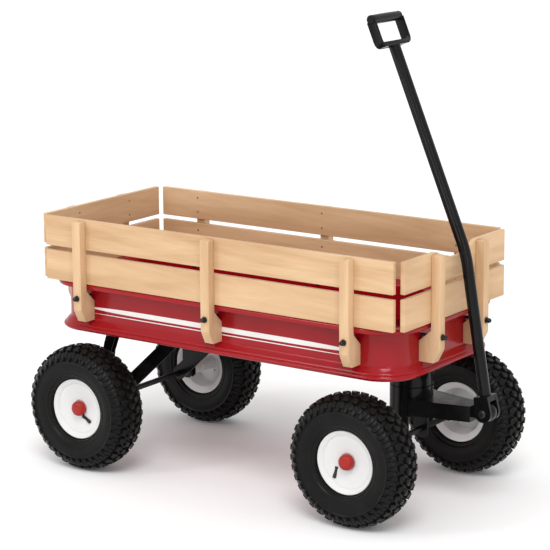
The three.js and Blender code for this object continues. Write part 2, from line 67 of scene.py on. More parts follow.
# ------------------------------------------------------------------ shells
def grid_shell(points, loop_rows=False, loop_columns=True):
    """Joins a (rows, columns, 3) grid with quads; open row ends are closed with flat caps.

    The signed volume of the shell decides which way its faces turn, so they face outward."""
    rows, columns = points.shape[:2]
    index = np.arange(rows * columns).reshape(rows, columns)
    first, last = index[0], index[-1]
    if loop_rows:
        index = np.vstack([index, index[:1]])
    if loop_columns:
        index = np.hstack([index, index[:, :1]])
    quads = np.stack([index[:-1, :-1], index[:-1, 1:], index[1:, 1:], index[1:, :-1]], -1).reshape(-1, 4)
    caps = [] if loop_rows else [first[::-1].tolist(), last.tolist()]
    corners = points.reshape(-1, 3)
    fans = [quads[:, [0, 1, 2]], quads[:, [0, 2, 3]]]
    fans += [np.stack([np.full(len(cap) - 2, cap[0]), cap[1:-1], cap[2:]], -1) for cap in caps]
    a, b, c = corners[np.vstack(fans)].transpose(1, 0, 2)
    if np.einsum("ij,ij->", a, np.cross(b, c)) < 0:
        quads = quads[:, ::-1]
        caps = [cap[::-1] for cap in caps]
    return corners, quads.tolist() + caps


def piece(name, shells, body, material, stands_for=(), sharp=38):
    """One object from several shells, riding on a body and standing for frame nodes."""
    corners, faces, start = [], [], 0
    for points, polygons in shells:
        corners.append(points)
        faces += [[start + i for i in polygon] for polygon in polygons]
        start += len(points)
    mesh = bpy.data.meshes.new(name)
    mesh.from_pydata((np.vstack(corners) * MM).tolist(), [], faces)
    mesh.shade_smooth()
    mesh.set_sharp_from_angle(angle=math.radians(sharp))
    mesh.materials.append(material)
    made = bpy.data.objects.new(name, mesh)
    bpy.context.scene.collection.objects.link(made)
    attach(made, body)
    if stands_for:
        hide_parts(*stands_for)
    return made


def eased(corners, radius, steps=3, closed=True):
    """Rounds each corner of an outline: a quadratic curve from a point before it to one after."""
    points = np.asarray(corners, float)
    before, after = np.roll(points, 1, 0) - points, np.roll(points, -1, 0) - points
    lengths = np.stack([np.linalg.norm(before, axis=1), np.linalg.norm(after, axis=1)])
    cut = np.minimum(radius, 0.45 * lengths.min(0))[:, None]
    start = points + before / lengths[0][:, None] * cut
    end = points + after / lengths[1][:, None] * cut
    t = np.linspace(0, 1, steps + 1)[None, :, None]
    curve = (1 - t) ** 2 * start[:, None] + 2 * t * (1 - t) * points[:, None] + t**2 * end[:, None]
    if closed:
        return curve.reshape(-1, points.shape[1])
    return np.vstack([points[:1], curve[1:-1].reshape(-1, points.shape[1]), points[-1:]])


def turned(profile, centre, outward=1, sides=64, closed=True, axis="y"):
    """A profile of (radius, distance along the axis) carried round the axis: x = r cos, z = r sin."""
    around = np.linspace(0, 2 * math.pi, sides, endpoint=False)
    radius, along = np.asarray(profile, float).T
    ring_a = radius[:, None] * np.cos(around)
    ring_b = radius[:, None] * np.sin(around)
    reach = np.broadcast_to(outward * along[:, None], ring_a.shape)
    order = {"y": (ring_a, reach, ring_b), "z": (ring_a, ring_b, reach), "x": (reach, ring_a, ring_b)}[axis]
    return grid_shell(np.stack(order, -1) + centre, loop_rows=closed)


def inset(outline, amount):
    """Moves each point of a closed outline inward along its mitred normal."""
    edge = np.roll(outline, -1, 0) - outline
    edge /= np.linalg.norm(edge, axis=1)[:, None]
    normal = np.stack([edge[:, 1], -edge[:, 0]], 1)
    other = np.roll(normal, 1, 0)
    mitre = (normal + other) / (1 + (normal * other).sum(1))[:, None]
    area = (outline[:, 0] * np.roll(outline[:, 1], -1) - outline[:, 1] * np.roll(outline[:, 0], -1)).sum()
    return outline - mitre * amount * np.sign(area)


def slab(outline, low, high, ease=1.0, plane="xz"):
    """An outline given a thickness from low to high, with its two rims rounded by a quarter circle."""
    turn = np.linspace(0, math.pi / 2, 4)
    amounts = ease * (1 - np.sin(turn))
    depths = ease * (1 - np.cos(turn))
    levels = np.concatenate([low + depths, (high - depths)[::-1]])
    rings = [inset(outline, amount) for amount in np.concatenate([amounts, amounts[::-1]])]
    flat = np.stack(rings)
    level = np.broadcast_to(levels[:, None], flat.shape[:2])
    a, b = flat[..., 0], flat[..., 1]
    return grid_shell(np.stack({"xz": (a, level, b), "yz": (level, a, b)}[plane], -1))


def carried(section, path, side, across):
    """A closed section of (a, b) carried along a path: point + a * side + b * across."""
    section = np.asarray(section, float)
    if section.ndim == 2:
        section = np.broadcast_to(section, (len(path), *section.shape))
    return (path[:, None] + section[..., :1] * side[:, None] + section[..., 1:] * across[:, None])


def plank(low, high, ease=0.8, top=None):
    """A board with eased edges. Its section is a rounded rectangle; top gives its upper edge along it."""
    size = high - low
    along = int(np.argmax(size))
    thick = 1 - along if along < 2 else 0
    up = 2 if along < 2 else 1
    end = np.array([0, 0.35, 1])
    run = np.concatenate([end, np.linspace(4, size[along] - 4, 49), size[along] - end[::-1]])
    shrink = np.minimum(1.0, np.sqrt(np.clip(run, 0, 1) * np.clip(size[along] - run, 0, 1)))
    draw_in = ease * 0.8 * (1 - shrink)
    upper = np.full(len(run), high[up]) if top is None else top(run + low[along])
    half = size[thick] / 2
    rings = []
    for draw, edge in zip(draw_in, upper):
        box = [(-half + draw, low[up] + draw), (half - draw, low[up] + draw), (half - draw, edge - draw),
               (-half + draw, edge - draw)]
        rings.append(eased(box, ease, 3))
    flat = np.stack(rings)
    points = np.zeros((*flat.shape[:2], 3))
    points[..., along] = (run + low[along])[:, None]
    points[..., thick] = flat[..., 0] + (low[thick] + high[thick]) / 2
    points[..., up] = flat[..., 1]
    return grid_shell(points)


# ------------------------------------------------------------------ finishes
class Finish:
    """A node material built up from noise on the object's own coordinates."""

    def __init__(self, name, roughness, metallic=0.0, specular=0.5):
        self.material = bpy.data.materials.new(name)
        self.material.use_nodes = True
        self.tree = self.material.node_tree
        self.shader = self.tree.nodes["Principled BSDF"]
        for socket, value in (("Roughness", roughness), ("Metallic", metallic),
                              ("Specular IOR Level", specular)):
            self.shader.inputs[socket].default_value = value
        self.object = self.tree.nodes.new("ShaderNodeTexCoord")

    def join(self, out, into):
        self.tree.links.new(out, into)

    def stretched(self, scale=(1, 1, 1), offset=(0, 0, 0)):
        node = self.tree.nodes.new("ShaderNodeMapping")
        node.inputs["Scale"].default_value = scale
        node.inputs["Location"].default_value = offset
        self.join(self.object.outputs["Object"], node.inputs["Vector"])
        return node.outputs["Vector"]

    def noise(self, vector, scale, detail=4.0, distortion=0.0):
        node = self.tree.nodes.new("ShaderNodeTexNoise")
        node.inputs["Scale"].default_value = scale
        node.inputs["Detail"].default_value = detail
        node.inputs["Distortion"].default_value = distortion
        self.join(vector, node.inputs["Vector"])
        return node.outputs["Fac"]

    def ramp(self, value, stops):
        node = self.tree.nodes.new("ShaderNodeValToRGB")
        while len(node.color_ramp.elements) < len(stops):
            node.color_ramp.elements.new(0.5)
        for element, (at, colour) in zip(node.color_ramp.elements, stops):
            element.position = at
            element.color = (*colour, 1)
        self.join(value, node.inputs["Fac"])
        return node.outputs["Color"]

    def scaled(self, value, low, high, start=0.3, end=0.7):
        node = self.tree.nodes.new("ShaderNodeMapRange")
        for socket, number in (("From Min", start), ("From Max", end), ("To Min", low), ("To Max", high)):
            node.inputs[socket].default_value = number
        self.join(value, node.inputs["Value"])
        return node.outputs["Result"]

    def mixed(self, factor, first, second, how="MIX"):
        node = self.tree.nodes.new("ShaderNodeMix")
        node.data_type = "RGBA"
        node.blend_type = how
        self.join(factor, node.inputs["Factor"])
        self.join(first, node.inputs["A"])
        self.join(second, node.inputs["B"])
        return node.outputs["Result"]

    def bump(self, height, strength, distance):
        node = self.tree.nodes.new("ShaderNodeBump")
        node.inputs["Strength"].default_value = strength
        node.inputs["Distance"].default_value = distance
        self.join(height, node.inputs["Height"])
        self.join(node.outputs["Normal"], self.shader.inputs["Normal"])

    def colour(self, out):
        self.join(out, self.shader.inputs["Base Color"])

    def rough(self, out):
        self.join(out, self.shader.inputs["Roughness"])


# Orange peel: how fine it is, and how deep in metres.
PEEL_SCALE, PEEL_DEPTH = 900.0, 0.0004


def coated(name, dark, light, rough, peel=0.05, metallic=0.0, specular=0.5):
    """Paint, plating or moulded plastic: clouded tone, uneven gloss and a fine orange peel."""
    look = Finish(name, rough[0], metallic, specular)
    space = look.stretched()
    look.colour(look.ramp(look.noise(space, 14.0, 5.0), [(0.3, dark), (0.7, light)]))
    look.rough(look.scaled(look.noise(space, 60.0, 6.0), *rough))
    look.bump(look.noise(space, PEEL_SCALE, 2.0), peel, PEEL_DEPTH)
    return look.material


def timber(name, along, seed):
    """Pale board: long soft streaks and growth lines along the board, with fine pores."""
    look = Finish(name, 0.5, specular=0.3)
    shift = np.random.default_rng(seed).uniform(-3, 3, 3)
    stretch = [1.0 if axis == along else 9.0 for axis in range(3)]
    space = look.stretched(stretch, shift)
    streak = look.noise(space, 3.2, 6.0, 0.6)
    base = look.ramp(streak, [(0.28, (0.54, 0.335, 0.180)), (0.5, (0.635, 0.415, 0.236)),
                              (0.72, (0.72, 0.50, 0.30))])
    lines = look.tree.nodes.new("ShaderNodeTexWave")
    lines.bands_direction = "DIAGONAL"
    for socket, number in (("Scale", 2.2), ("Distortion", 7.0), ("Detail", 3.0), ("Detail Scale", 0.9)):
        lines.inputs[socket].default_value = number
    look.join(space, lines.inputs["Vector"])
    tint = look.ramp(lines.outputs["Fac"], [(0.0, (0.90, 0.87, 0.83)), (0.55, (1, 1, 1)),
                                            (1.0, (0.96, 0.95, 0.93))])
    clouds = look.noise(look.stretched(offset=shift), 7.0, 2.0)
    blend = look.scaled(clouds, 0.15, 0.7)
    grained = look.mixed(blend, base, tint, "MULTIPLY")
    fine = [2.0 if axis == along else 60.0 for axis in range(3)]
    pores = look.noise(look.stretched(fine, shift), 12.0, 4.0)
    shade = look.ramp(pores, [(0.35, (0.93, 0.91, 0.88)), (0.6, (1, 1, 1))])
    look.colour(look.mixed(look.scaled(clouds, 0.5, 0.9), grained, shade, "MULTIPLY"))
    look.rough(look.scaled(pores, 0.62, 0.42))
    look.bump(pores, 0.12, 0.0006)
    return look.material


RED_PAINT = coated("red enamel", (0.275, 0.0025, 0.006), (0.31, 0.004, 0.009),
                   (0.16, 0.22), 0.02, specular=0.3)
BLACK_PAINT = coated("black gear paint", (0.003, 0.003, 0.003), (0.006, 0.006, 0.006),
                     (0.16, 0.26), 0.03, specular=0.2)
WHITE_PAINT = coated("white rim paint", (0.66, 0.66, 0.655), (0.70, 0.70, 0.695),
                     (0.30, 0.40), 0.04, specular=0.3)
LINE_PAINT = coated("white line paint", (0.74, 0.73, 0.70), (0.80, 0.79, 0.77),
                    (0.30, 0.40), 0.03, specular=0.3)
RED_PLASTIC = coated("red cap plastic", (0.30, 0.008, 0.004), (0.36, 0.012, 0.007),
                     (0.25, 0.36), 0.08, specular=0.35)
BLACK_PLASTIC = coated("black grip plastic", (0.004, 0.004, 0.004), (0.007, 0.007, 0.007),
                       (0.2, 0.3), 0.06, specular=0.2)
ZINC = coated("black zinc", (0.02, 0.02, 0.022), (0.045, 0.045, 0.048), (0.30, 0.46), 0.08, metallic=0.85)
SCREW = coated("bronzed screw", (0.20, 0.12, 0.06), (0.30, 0.19, 0.10), (0.40, 0.55), 0.08, metallic=0.3)
NYLON = coated("natural nylon", (0.72, 0.69, 0.62), (0.78, 0.76, 0.70), (0.45, 0.55), 0.06)
VALVE_RUBBER = coated("valve rubber", (0.008, 0.011, 0.010), (0.014, 0.019, 0.017),
                      (0.35, 0.5), 0.15, specular=0.35)


def tyre_rubber():
    """Black rubber: dusty in patches, with a fine moulded texture."""
    look = Finish("tyre rubber", 0.5, specular=0.14)
    space = look.stretched()
    dust = look.noise(space, 22.0, 5.0)
    look.colour(look.ramp(dust, [(0.3, (0.0035, 0.0033, 0.0032)), (0.75, (0.0075, 0.0070, 0.0068))]))
    look.rough(look.scaled(look.noise(space, 90.0, 4.0), 0.26, 0.42))
    look.bump(look.noise(space, 700.0, 3.0), 0.12, 0.0005)
    return look.material


RUBBER = tyre_rubber()


# ------------------------------------------------------------------ tray
TRAY_LOW, TRAY_HIGH = place_of("tray")
RIM_OUT = 23.0
WALL_HALF = np.array([(TRAY_HIGH[0] - TRAY_LOW[0]) / 2 - RIM_OUT, TRAY_HIGH[1] - RIM_OUT])
WALL_CORNER = 60.0
TRAY_X = (TRAY_LOW[0] + TRAY_HIGH[0]) / 2
TRAY_FLOOR = TRAY_LOW[2]
RIM_TOP = TRAY_HIGH[2]
SHEET = 1.4


def rounded_path(out, steps=14):
    """Plan of the wall moved outward: four quarter circles about fixed corner centres."""
    turn = np.linspace(0, math.pi / 2, steps)
    centre = WALL_HALF - WALL_CORNER
    quarters = []
    for k, (sx, sy) in enumerate([(1, 1), (-1, 1), (-1, -1), (1, -1)]):
        angle = turn + k * math.pi / 2
        radius = np.maximum(WALL_CORNER + out, 4.0)
        x, y = sx * centre[0] + radius * np.cos(angle), sy * centre[1] + radius * np.sin(angle)
        quarters.append(np.stack([x, y], 1))
    return np.vstack(quarters)


def swept_round_tray(section, loop):
    """A section of (outward, height) carried round the wall's plan."""
    rings = [np.column_stack([rounded_path(out), np.full(56, z)]) for out, z in section]
    return grid_shell(np.stack(rings) + [TRAY_X, 0, 0], loop_rows=loop)


def tray_section():
    """Underside of the floor, flared foot with two rolls, wall, rolled rim and back down inside."""
    z0, z1 = TRAY_FLOOR, RIM_TOP
    outer = [(-52, z0), (4, z0), (11.5, z0 + 1.2), (15.5, z0 + 5.5), (14.2, z0 + 9.8), (10.2, z0 + 11.6),
             (9.4, z0 + 14.6), (5.6, z0 + 18.4), (0.6, z0 + 24.5), (0, z0 + 33), (0, z1 - 9), (2.5, z1 - 3.4),
             (7, z1 - SHEET - 0.3),
             (RIM_OUT - 3.6, z1 - SHEET - 0.5), (RIM_OUT - 2.6, z1 - 4), (RIM_OUT - 2.8, z1 - 9.5)]
    lip = [(RIM_OUT - 1.2, z1 - 10.5), (RIM_OUT, z1 - 8.8), (RIM_OUT, z1 - 3), (RIM_OUT - 2.6, z1), (5, z1)]
    inner = [(out - SHEET, z + (SHEET if out > 6 else 0)) for out, z in reversed(outer[1:11])]
    inner += [(-52, z0 + 1.8)]
    rough = np.array(outer + lip + inner)
    return eased(rough, 1.6, 2, closed=False)


tray_shells = [swept_round_tray(tray_section(), loop=False)]
piece("tray_shell", tray_shells, "chassis", RED_PAINT, ["tray"], sharp=50)


def coach_lines():
    """A plain painted band and a thin line on each long side of the tray, pointed at both ends.

    Each is a flat strip: height either side of its middle is half * (1 - |t|^6) for t from -1 to 1."""
    strips = []
    t = np.linspace(-1, 1, 81)
    for sign in SIDES.values():
        for middle, half, reach in ((TRAY_FLOOR + 50, 5.0, 330), (TRAY_FLOOR + 39.5, 0.9, 318)):
            wide = half * (1 - np.abs(t) ** 6) + 0.05
            half_section = [(0.2, 0.94), (0.12, 1.0), (-0.2, 1.0)]
            section = np.array([(out, -up) for out, up in half_section[::-1]] + half_section)
            points = np.zeros((len(t), len(section), 3))
            points[..., 0] = TRAY_X + reach * t[:, None]
            points[..., 1] = sign * (WALL_HALF[1] + section[:, 0])
            points[..., 2] = middle + section[:, 1] * wide[:, None]
            strips.append(grid_shell(points))
    return strips


piece("coach_lines", coach_lines(), "chassis", LINE_PAINT)


# ------------------------------------------------------------------ timber sides
boards = ["rear_slat_lower", "rear_slat_upper", "front_slat_lower"]
boards += [f"side_slat_{level}_{side}" for level in ("lower", "upper") for side in SIDES]
for seed, node in enumerate(sorted(boards)):
    low, high = place_of(node)
    grain = timber(f"timber of {node}", 0 if node.startswith("side") else 1, seed + 1)
    piece(node.replace("slat", "board"), [plank(low, high)], "chassis", grain, [node])

SCOOP_HALF, SCOOP_DEPTH = 70.0, 20.0
low, high = place_of("front_slat_upper")
SCOOP_R = (SCOOP_HALF**2 + SCOOP_DEPTH**2) / (2 * SCOOP_DEPTH)


def scooped_top(y):
    """The board's top edge dips in a circular arc about its middle, with softened ends."""
    arc = high[2] - SCOOP_DEPTH + SCOOP_R - np.sqrt(np.maximum(SCOOP_R**2 - y**2, 0))
    return np.where(np.abs(y) < SCOOP_HALF, np.minimum(arc, high[2]), high[2])


piece("front_board_upper", [plank(low, high, top=scooped_top)], "chassis",
      timber("timber of front upper board", 1, 20), ["front_slat_upper"])


STAKE_THICK = 18.5
STAKE_GAP = 0.4
NOTCH_TOP, NOTCH_FOOT = 363, 341
TOP_DROP = 2


def stake_outline(face, wall, z_low, z_high):
    """The stake seen from its edge: (outward, z), notched round the rim and bevelled at the foot."""
    inner, outer, seat = face + STAKE_GAP, face + STAKE_THICK, wall + STAKE_GAP
    return np.array([(inner, z_high), (inner, NOTCH_TOP), (seat, NOTCH_FOOT), (seat, z_low),
                     (outer - 13, z_low), (outer, z_low + 25.5), (outer, z_high - 2), (outer - 4, z_high)])


def stake(node, end, sign):
    """A stake cut from one board, its edges eased; outward is Y on the sides and X at the ends."""
    low, high = place_of(node)
    axis = 0 if end else 1
    middle = TRAY_X if end else 0.0
    face = max(abs(low[axis] - middle), abs(high[axis] - middle)) - STAKE_THICK
    outline = stake_outline(face, WALL_HALF[axis], low[2], high[2] - TOP_DROP)
    outline[:, 0] = middle + sign * outline[:, 0]
    shape = slab(eased(outline, 1.0, 2), low[1 - axis], high[1 - axis], 0.8, "xz" if end else "yz")
    return [shape]


STAKES = {f"side_stake_{side}_{where}": (False, SIDES[side])
          for side in SIDES for where in ("rear", "middle", "front")}
STAKES |= {f"{end}_stake_{side}": (True, ENDS[end]) for end in ENDS for side in SIDES}
for seed, (node, (end, sign)) in enumerate(STAKES.items()):
    piece(node.replace("stake", "post"), stake(node, end, sign), "chassis",
          timber(f"timber of {node}", 2, seed + 40), [node])


# ------------------------------------------------------------------ fasteners
def stake_bolt(node, axis, sign):
    """Round head inside the tray, shank, washer and domed nut, turned about the bolt's line."""
    low, high = place_of(node)
    centre = (low + high) / 2
    centre[axis] = 0
    inner, outer = (low[axis], high[axis]) if sign > 0 else (-high[axis], -low[axis])
    seat = outer - 11.0
    profile = [(0.4, inner), (4.4, inner + 0.3), (6.3, inner + 1.6), (6.5, inner + 2.6),
               (3, inner + 2.7), (3, seat), (6.2, seat), (6.4, seat + 0.6), (6.0, seat + 1.2),
               (4.9, seat + 1.4), (4.8, seat + 6.2),
               (4.1, seat + 8.8), (2.4, seat + 10.5), (0.4, seat + 11.0)]
    return [turned(eased(profile, 0.5, 2, closed=False), centre, sign, 28, closed=False, axis="xyz"[axis])]


for node, (end, sign) in STAKES.items():
    bolt = node.replace("stake", "bolt")
    axis = 0 if end else 1
    piece(bolt.replace("bolt", "domed_nut"), stake_bolt(bolt, axis, sign), "chassis", ZINC,
          [bolt])


def slat_screws():
    """Small domed screw heads on the boards' inner faces, two in each board at each stake."""
    heads = []
    levels = [(low + step) for low in (378.0, 448.0) for step in (15.0, 45.5)]
    profile = [(0.3, 0.5), (1.3, 0.45), (2.1, 0.25), (2.3, -0.4)]
    for node, (end, sign) in STAKES.items():
        centre = middle_of(node)
        axis = 0 if end else 1
        board = f"side_slat_lower_{node.split('_')[2]}"
        if end:
            board = "rear_slat_lower" if sign < 0 else "front_slat_lower"
        low, high = place_of(board)
        for level in levels:
            at = np.array([centre[0], centre[1], level])
            at[axis] = high[axis] if sign < 0 else low[axis]
            heads.append(turned(profile, at, -sign, 14, closed=False, axis="xyz"[axis]))
    return heads


piece("board_screws", slat_screws(), "chassis", SCREW)


# ------------------------------------------------------------------ wheels
TYRE_R = 128.0
CROWN = TYRE_R - 6.0
LUGS = 38


def tyre_half():
    """Half section from crown to bead: a superellipse quarter, then a quarter ellipse to the rim."""
    t = np.linspace(0, math.pi / 2, 160)
    upper = np.stack([90 + (CROWN - 90) * np.cos(t) ** (2 / 2.5), 40.5 * np.sin(t) ** (2 / 2.5)], 1)
    lower = np.stack([90 - 28.2 * np.sin(t), 25 + 15.5 * np.cos(t)], 1)
    return np.vstack([upper, lower[1:]])


HALF = tyre_half()
RUN = np.concatenate([[0], np.cumsum(np.linalg.norm(np.diff(HALF, axis=0), axis=1))])


def on_tyre(angle, s, height):
    """Point at an angle round the wheel, arc length s from the crown and height above the casing."""
    side = np.sign(s) + (s == 0)
    radius = np.interp(np.abs(s), RUN, HALF[:, 0])
    width = np.interp(np.abs(s), RUN, HALF[:, 1])
    step = 0.6
    ahead, behind = np.abs(s) + step, np.maximum(np.abs(s) - step, 0)
    ahead_r = np.interp(ahead, RUN, HALF[:, 0]) - np.interp(behind, RUN, HALF[:, 0])
    ahead_w = np.interp(ahead, RUN, HALF[:, 1]) - np.interp(behind, RUN, HALF[:, 1])
    length = np.hypot(ahead_r, ahead_w) + 1e-9
    radius = radius + height * ahead_w / length
    width = width - height * ahead_r / length
    return np.stack(np.broadcast_arrays(radius * np.cos(angle), side * width, radius * np.sin(angle)), -1)


def casing():
    """Smooth casing with a ridge ring at the shoulder and two bead rings, closed over the rim."""
    s = np.linspace(0, RUN[-1], 132)
    s = np.concatenate([-s[:0:-1], s])
    radius = np.interp(np.abs(s), RUN, HALF[:, 0])
    ridge = sum(high * np.exp(-(((radius - at) / wide) ** 2)) * (np.abs(s) > 30)
                for at, wide, high in ((99.0, 1.6, 2.4), (72.5, 1.8, 1.2), (66.0, 1.5, 1.8)))
    around = np.linspace(0, 2 * math.pi, 180, endpoint=False)
    outer = on_tyre(around[None, :], s[:, None], ridge[:, None])
    edge = np.array([(57, 22), (51.5, 19), (51.5, -19), (57, -22)])
    rings = (edge[:, :1] * np.cos(around), edge[:, 1:], edge[:, :1] * np.sin(around))
    inner = np.stack(np.broadcast_arrays(*rings), -1)
    return grid_shell(np.concatenate([outer, inner]), loop_rows=True)


def tread_blocks():
    """Every block is one chamfered pad bent onto the casing; rows are staggered by half a pitch."""
    octagon = np.array([(-1, -0.6), (-0.6, -1), (0.6, -1), (1, -0.6),
                        (1, 0.6), (0.6, 1), (-0.6, 1), (-1, 0.6)])
    levels = np.array([(-1.2, 1.12), (4.6, 1.0), (5.6, 0.94), (6.0, 0.84)])
    rows = [  # arc position, half length round the tyre, half length across, skew, stagger, height
        (7.8, 6.3, 5.6, 0.30, 0.0, 1.0), (23.0, 5.9, 5.8, -0.22, 0.5, 0.98),
        (40.5, 4.7, 9.0, 0.10, 0.0, 0.62), (37.0, 4.0, 6.2, -0.10, 0.5, 0.60)]
    pitch = 2 * math.pi / LUGS
    blocks = []
    count = np.arange(LUGS)
    for sign in (-1, 1):
        for s0, along, across, skew, stagger, tall in rows:
            shift = stagger + (0.0 if sign > 0 else 0.5)
            u = octagon[:, 0] * along + skew * octagon[:, 1] * across
            v = octagon[:, 1] * across
            ring_u = levels[:, 1:] * u
            ring_v = levels[:, 1:] * v
            s = sign * (s0 + ring_v)
            reach = np.interp(s0, RUN, HALF[:, 0])
            angle = (count[:, None, None] + shift) * pitch + ring_u[None] / reach
            height = np.broadcast_to(levels[:, :1] * tall, ring_u.shape)
            grown = on_tyre(angle, np.broadcast_to(s, angle.shape), np.broadcast_to(height, angle.shape))
            blocks += [grid_shell(block) for block in grown]
    return blocks


RIM_PROFILE = eased([
    (9.3, -34), (14, -34), (14, 11.5), (20, 13), (46, 20), (47.5, 19), (47.5, -22), (58, -29.5), (60.5, -30),
    (61.6, -28.4), (51, -20.5), (51, 20.5), (60.2, 26.2), (61.6, 27.6), (60.8, 29.6), (58.6, 29.2),
    (55.0, 27.4), (51.6, 25.4), (50.4, 23.6), (49.2, 24.4), (34, 20.4), (19, 17.6), (17.4, 18.4),
    (16.4, 16.9), (9.3, 17)], 1.3, 3)
BUSH_PROFILE = eased([(6.3, -59), (12.5, -59), (12.5, -34.3), (9, -34.3), (9, 18), (6.3, 18)], 0.5, 2)
CAP_PROFILE = eased([(6.3, 18.5), (15.2, 18.5), (15.5, 22.5), (15.2, 26), (13.6, 30.2), (9.8, 33), (5, 34),
                     (0.5, 34.2)], 1.0, 3, closed=False)
VALVES = {"rear": ((7.0, -17.0), (29.0, -24.5)), "front": ((-24.5, -14.5), (-27.0, -35.0))}


def valve(centre, outward, end):
    """A stubby valve leaning out of the disc: rings of one radius law along a straight line."""
    (x0, z0), (x1, z1) = VALVES[end]
    start = centre + np.array([x0, outward * 16.5, z0])
    tip = centre + np.array([x1, outward * 24.0, z1])
    run = (tip - start) / np.linalg.norm(tip - start)
    side = np.cross(run, [0, 1.0, 0])
    side /= np.linalg.norm(side)
    across = np.cross(run, side)
    law = np.array([(0, 4.6), (0.1, 4.3), (0.22, 3.3), (0.6, 3.0), (0.64, 3.6), (0.94, 3.6), (1.0, 2.4)])
    turn = np.linspace(0, 2 * math.pi, 18, endpoint=False)
    ring = law[:, 1, None, None] * (np.cos(turn)[None, :, None] * side + np.sin(turn)[None, :, None] * across)
    return [grid_shell(start + law[:, 0, None, None] * (tip - start) + ring)]


for end in ENDS:
    for side, outward in SIDES.items():
        wheel = f"wheel_{end}_{side}"
        centre = middle_of(f"tyre_{end}_{side}")
        rubber = [(points * [1, outward, 1] + centre, [face[::outward] for face in faces])
                  for points, faces in [casing()] + tread_blocks()]
        piece(f"tread_tyre_{end}_{side}", rubber, wheel, RUBBER, [f"tyre_{end}_{side}"], sharp=32)
        piece(f"dished_rim_{end}_{side}", [turned(RIM_PROFILE, centre, outward, 96)], wheel,
              WHITE_PAINT, [f"rim_{end}_{side}"], sharp=50)
        piece(f"hub_bush_{end}_{side}", [turned(BUSH_PROFILE, centre, outward, 40)], wheel,
              NYLON, [f"bush_{end}_{side}"])
        piece(f"valve_{end}_{side}", valve(centre, outward, end), wheel, VALVE_RUBBER)
        fixed_to = "chassis" if end == "rear" else "steering"
        piece(f"dome_cap_{end}_{side}", [turned(CAP_PROFILE, centre, outward, 56, closed=False)], fixed_to,
              RED_PLASTIC, [f"axle_cap_{end}_{side}"], sharp=60)


# ------------------------------------------------------------------ axles and gear
def axle(node):
    """A round bar with chamfered ends; the front one has a collar inside each wheel."""
    low, high = place_of(node)
    centre = (low + high) / 2
    end = [(0.4, high[1]), (4.8, high[1]), (6, high[1] - 1.2)]
    if high[2] - low[2] > 13:
        end += [(6, 144), (9.2, 143.9), (9.8, 143.2), (9.8, 138.8), (9.2, 138.1), (6, 138)]
    profile = [(r, -y) for r, y in end] + end[::-1]
    return [turned(profile, centre, 1, 32, closed=False)]


piece("rear_axle_bar", axle("rear_axle"), "chassis", ZINC, ["rear_axle"])
piece("front_axle_bar", axle("front_axle"), "steering", ZINC, ["front_axle"])


def finished_copy(node, name, body, material, width=0.8):
    """The frame's own solid with its doubles merged and its edges softened by a bevel."""
    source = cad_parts[node]
    mesh = source.data.copy()
    mesh.name = name
    mesh.materials.clear()
    mesh.materials.append(material)
    made = bpy.data.objects.new(name, mesh)
    bpy.context.scene.collection.objects.link(made)
    work = bmesh.new()
    work.from_mesh(mesh)
    bmesh.ops.remove_doubles(work, verts=work.verts, dist=1e-5)
    bmesh.ops.dissolve_limit(work, angle_limit=math.radians(1.0), verts=work.verts, edges=work.edges)
    work.to_mesh(mesh)
    work.free()
    mesh.shade_smooth()
    mesh.set_sharp_from_angle(angle=math.radians(30))
    soft = made.modifiers.new("edges", "BEVEL")
    soft.width = width * MM
    soft.segments = 2
    soft.limit_method = "ANGLE"
    soft.angle_limit = math.radians(34)
    soft.harden_normals = False
    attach(made, body)
    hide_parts(node)
    return made


for side in SIDES:
    finished_copy(f"rear_hanger_{side}", f"hanger_channel_{side}", "chassis", BLACK_PAINT)
    finished_copy(f"rear_brace_{side}", f"brace_strap_{side}", "chassis", BLACK_PAINT)
finished_copy("front_bolster", "bolster_box", "chassis", BLACK_PAINT)
finished_copy("kingpin", "kingpin_bolt", "chassis", ZINC, 0.6)
finished_copy("steering_yoke", "yoke_plate", "steering", BLACK_PAINT)
finished_copy("tongue", "tongue_channel", "steering", BLACK_PAINT)
finished_copy("hinge_pin", "hinge_bolt", "steering", ZINC, 0.6)
finished_copy("handle_fork", "fork_socket", "handle", BLACK_PAINT)


# ------------------------------------------------------------------ pull handle
HINGE = middle_of("hinge_pin")
LEAN_LOW, LEAN_HIGH = math.radians(9.6), math.radians(22.9)
BEND_Z, SHAFT_TOP_Z, SHAFT_R = 495.0, 872.0, 11.0
LOWER = np.array([-math.sin(LEAN_LOW), 0, math.cos(LEAN_LOW)])
UPPER = np.array([-math.sin(LEAN_HIGH), 0, math.cos(LEAN_HIGH)])
BEND = HINGE + LOWER * (BEND_Z - HINGE[2]) / LOWER[2]
SHAFT_TOP = BEND + UPPER * (SHAFT_TOP_Z - BEND_Z) / UPPER[2]


